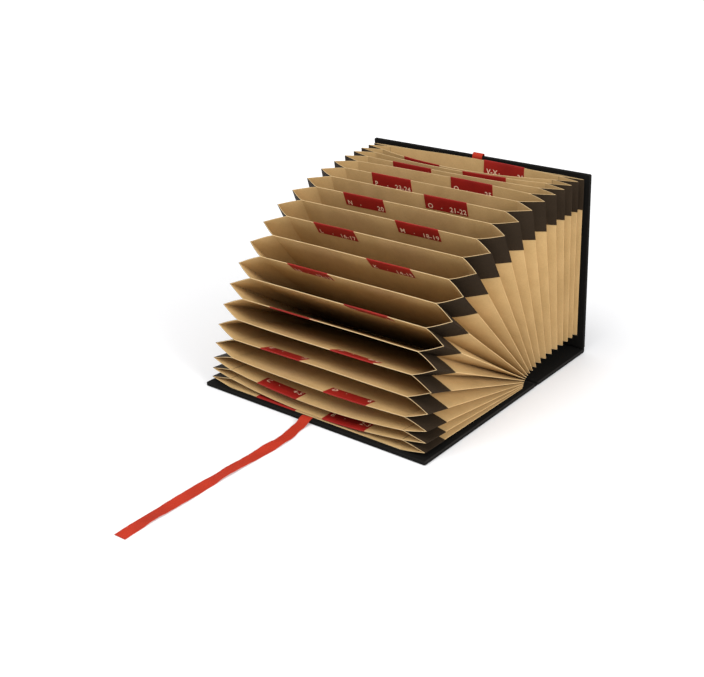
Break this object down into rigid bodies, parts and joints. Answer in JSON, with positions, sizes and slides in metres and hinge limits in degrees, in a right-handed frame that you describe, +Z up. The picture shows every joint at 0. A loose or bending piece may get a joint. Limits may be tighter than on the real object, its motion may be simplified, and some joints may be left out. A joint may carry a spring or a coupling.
{
  "type": "expanding file",
  "caption": "Book-style expanding file standing open: hard black case, fan of kraft paper pockets with red index labels, and red tie ribbons.",
  "frame": {"origin": "middle of the footprint of the case on the surface it rests on, ribbons left out", "axes": "+X along the hinges, +Y from the fore-edge of the front cover towards the back cover, +Z up"},
  "size_m": [0.2, 0.4101, 0.1529],
  "materials": {
    "cover_board": "board covered in black book cloth",
    "book_cloth": "black book cloth",
    "gusset_tape": "dark brown bookbinding tape",
    "tie_ribbon": "red woven ribbon",
    "index_label": "glossy red paper with pale print",
    "kraft_paper": "light brown kraft paper"
  },
  "bodies": {
    "front_cover": {"front_board": "cover_board", "front_wall": "kraft_paper", "index_label_20": "index_label", "left_gusset": "kraft_paper", "right_gusset": "kraft_paper", "left_gusset_tape": "gusset_tape", "right_gusset_tape": "gusset_tape", "bottom_folds": "kraft_paper", "front_joint_cloth": "book_cloth", "front_ribbon": "tie_ribbon"},
    "spine": {"spine_board": "cover_board", "back_joint_cloth": "book_cloth"},
    "back_cover": {"back_board": "cover_board", "back_wall": "kraft_paper", "rear_ribbon": "tie_ribbon"},
    "divider_01": {"leaf_01": "kraft_paper", "index_label_01": "index_label"},
    "divider_02": {"leaf_02": "kraft_paper", "index_label_02": "index_label"},
    "divider_03": {"leaf_03": "kraft_paper", "index_label_03": "index_label"},
    "divider_04": {"leaf_04": "kraft_paper", "index_label_04": "index_label"},
    "divider_05": {"leaf_05": "kraft_paper", "index_label_05": "index_label"},
    "divider_06": {"leaf_06": "kraft_paper", "index_label_06": "index_label"},
    "divider_07": {"leaf_07": "kraft_paper", "index_label_07": "index_label"},
    "divider_08": {"leaf_08": "kraft_paper", "index_label_08": "index_label"},
    "divider_09": {"leaf_09": "kraft_paper", "index_label_09": "index_label"},
    "divider_10": {"leaf_10": "kraft_paper", "index_label_10": "index_label"},
    "divider_11": {"leaf_11": "kraft_paper", "index_label_11": "index_label"},
    "divider_12": {"leaf_12": "kraft_paper", "index_label_12": "index_label"},
    "divider_13": {"leaf_13": "kraft_paper", "index_label_13": "index_label"},
    "divider_14": {"leaf_14": "kraft_paper", "index_label_14": "index_label"},
    "divider_15": {"leaf_15": "kraft_paper", "index_label_15": "index_label"},
    "divider_16": {"leaf_16": "kraft_paper", "index_label_16": "index_label"},
    "divider_17": {"leaf_17": "kraft_paper", "index_label_17": "index_label"},
    "divider_18": {"leaf_18": "kraft_paper", "index_label_18": "index_label"},
    "divider_19": {"leaf_19": "kraft_paper", "index_label_19": "index_label"}
  },
  "joints": [
    {"name": "front_hinge", "type": "hinge", "parent": "front_cover", "child": "spine", "pos_m": [0, 0.03638, 0], "axis": [1, 0, 0], "range_deg": [0, 90], "deforming": ["left_gusset", "right_gusset", "left_gusset_tape", "right_gusset_tape", "bottom_folds", "front_joint_cloth"]},
    {"name": "back_hinge", "type": "hinge", "parent": "spine", "child": "back_cover", "pos_m": [0, 0.11598, 0], "axis": [1, 0, 0], "range_deg": [-6.1, 0], "deforming": ["back_joint_cloth"]},
    {"name": "divider_01_fold", "type": "hinge", "parent": "divider_02", "child": "divider_01", "pos_m": [0, 0.0846, -0.12207], "axis": [1, 0, 0], "range_deg": [0, 1]},
    {"name": "divider_02_fold", "type": "hinge", "parent": "divider_03", "child": "divider_02", "pos_m": [0, 0.07717, -0.12291], "axis": [1, 0, 0], "range_deg": [0, 1]},
    {"name": "divider_03_fold", "type": "hinge", "parent": "divider_04", "child": "divider_03", "pos_m": [0, 0.06988, -0.0916], "axis": [1, 0, 0], "range_deg": [0, 1.4]},
    {"name": "divider_04_fold", "type": "hinge", "parent": "divider_05", "child": "divider_04", "pos_m": [0, 0.05637, -0.07304], "axis": [1, 0, 0], "range_deg": [0, 1.9]},
    {"name": "divider_05_fold", "type": "hinge", "parent": "divider_06", "child": "divider_05", "pos_m": [0, 0.05068, -0.03839], "axis": [1, 0, 0], "range_deg": [0, 3.2]},
    {"name": "divider_06_fold", "type": "hinge", "parent": "divider_07", "child": "divider_06", "pos_m": [0, 0.04054, -0.02675], "axis": [1, 0, 0], "range_deg": [0, 4.1]},
    {"name": "divider_07_fold", "type": "hinge", "parent": "divider_08", "child": "divider_07", "pos_m": [0, 0.03362, -0.02017], "axis": [1, 0, 0], "range_deg": [0, 4.8]},
    {"name": "divider_08_fold", "type": "hinge", "parent": "divider_09", "child": "divider_08", "pos_m": [0, 0.02845, -0.01209], "axis": [1, 0, 0], "range_deg": [0, 5.7]},
    {"name": "divider_09_fold", "type": "hinge", "parent": "divider_10", "child": "divider_09", "pos_m": [0, 0.02611, -0.00522], "axis": [1, 0, 0], "range_deg": [0, 6.5]},
    {"name": "divider_10_fold", "type": "hinge", "parent": "divider_11", "child": "divider_10", "pos_m": [0, 0.02415, -0.00134], "axis": [1, 0, 0], "range_deg": [0, 7.2]},
    {"name": "divider_11_fold", "type": "hinge", "parent": "divider_12", "child": "divider_11", "pos_m": [0, 0.02194, 0.00192], "axis": [1, 0, 0], "range_deg": [0, 7.4]},
    {"name": "divider_12_fold", "type": "hinge", "parent": "divider_13", "child": "divider_12", "pos_m": [0, 0.01922, 0.00575], "axis": [1, 0, 0], "range_deg": [0, 7.1]},
    {"name": "divider_13_fold", "type": "hinge", "parent": "divider_14", "child": "divider_13", "pos_m": [0, 0.01722, 0.00766], "axis": [1, 0, 0], "range_deg": [0, 6.6]},
    {"name": "divider_14_fold", "type": "hinge", "parent": "divider_15", "child": "divider_14", "pos_m": [0, 0.01562, 0.00766], "axis": [1, 0, 0], "range_deg": [0, 6.4]},
    {"name": "divider_15_fold", "type": "hinge", "parent": "divider_16", "child": "divider_15", "pos_m": [0, 0.01392, 0.0072], "axis": [1, 0, 0], "range_deg": [0, 6.1]},
    {"name": "divider_16_fold", "type": "hinge", "parent": "divider_17", "child": "divider_16", "pos_m": [0, 0.01252, 0.00684], "axis": [1, 0, 0], "range_deg": [0, 5.6]},
    {"name": "divider_17_fold", "type": "hinge", "parent": "divider_18", "child": "divider_17", "pos_m": [0, 0.00884, 0.00569], "axis": [1, 0, 0], "range_deg": [0, 3.8]},
    {"name": "divider_18_fold", "type": "hinge", "parent": "divider_19", "child": "divider_18", "pos_m": [0, 0.00314, 0.00332], "axis": [1, 0, 0], "range_deg": [0, 2.6]},
    {"name": "divider_19_fold", "type": "hinge", "parent": "front_cover", "child": "divider_19", "pos_m": [0, 0.00221, -0.02027], "axis": [1, 0, 0], "range_deg": [0, 2.5]}
  ],
  "couplings": [
    {"joint": "back_hinge", "follows": "front_hinge", "ratio": -0.067777},
    {"joint": "divider_01_fold", "follows": "front_hinge", "ratio": 0.011111},
    {"joint": "divider_02_fold", "follows": "front_hinge", "ratio": 0.011111},
    {"joint": "divider_03_fold", "follows": "front_hinge", "ratio": 0.015555},
    {"joint": "divider_04_fold", "follows": "front_hinge", "ratio": 0.021111},
    {"joint": "divider_05_fold", "follows": "front_hinge", "ratio": 0.035555},
    {"joint": "divider_06_fold", "follows": "front_hinge", "ratio": 0.045555},
    {"joint": "divider_07_fold", "follows": "front_hinge", "ratio": 0.053333},
    {"joint": "divider_08_fold", "follows": "front_hinge", "ratio": 0.063333},
    {"joint": "divider_09_fold", "follows": "front_hinge", "ratio": 0.072222},
    {"joint": "divider_10_fold", "follows": "front_hinge", "ratio": 0.08},
    {"joint": "divider_11_fold", "follows": "front_hinge", "ratio": 0.082222},
    {"joint": "divider_12_fold", "follows": "front_hinge", "ratio": 0.078888},
    {"joint": "divider_13_fold", "follows": "front_hinge", "ratio": 0.073333},
    {"joint": "divider_14_fold", "follows": "front_hinge", "ratio": 0.071111},
    {"joint": "divider_15_fold", "follows": "front_hinge", "ratio": 0.067777},
    {"joint": "divider_16_fold", "follows": "front_hinge", "ratio": 0.062222},
    {"joint": "divider_17_fold", "follows": "front_hinge", "ratio": 0.042222},
    {"joint": "divider_18_fold", "follows": "front_hinge", "ratio": 0.028888},
    {"joint": "divider_19_fold", "follows": "front_hinge", "ratio": 0.027777}
  ]
}
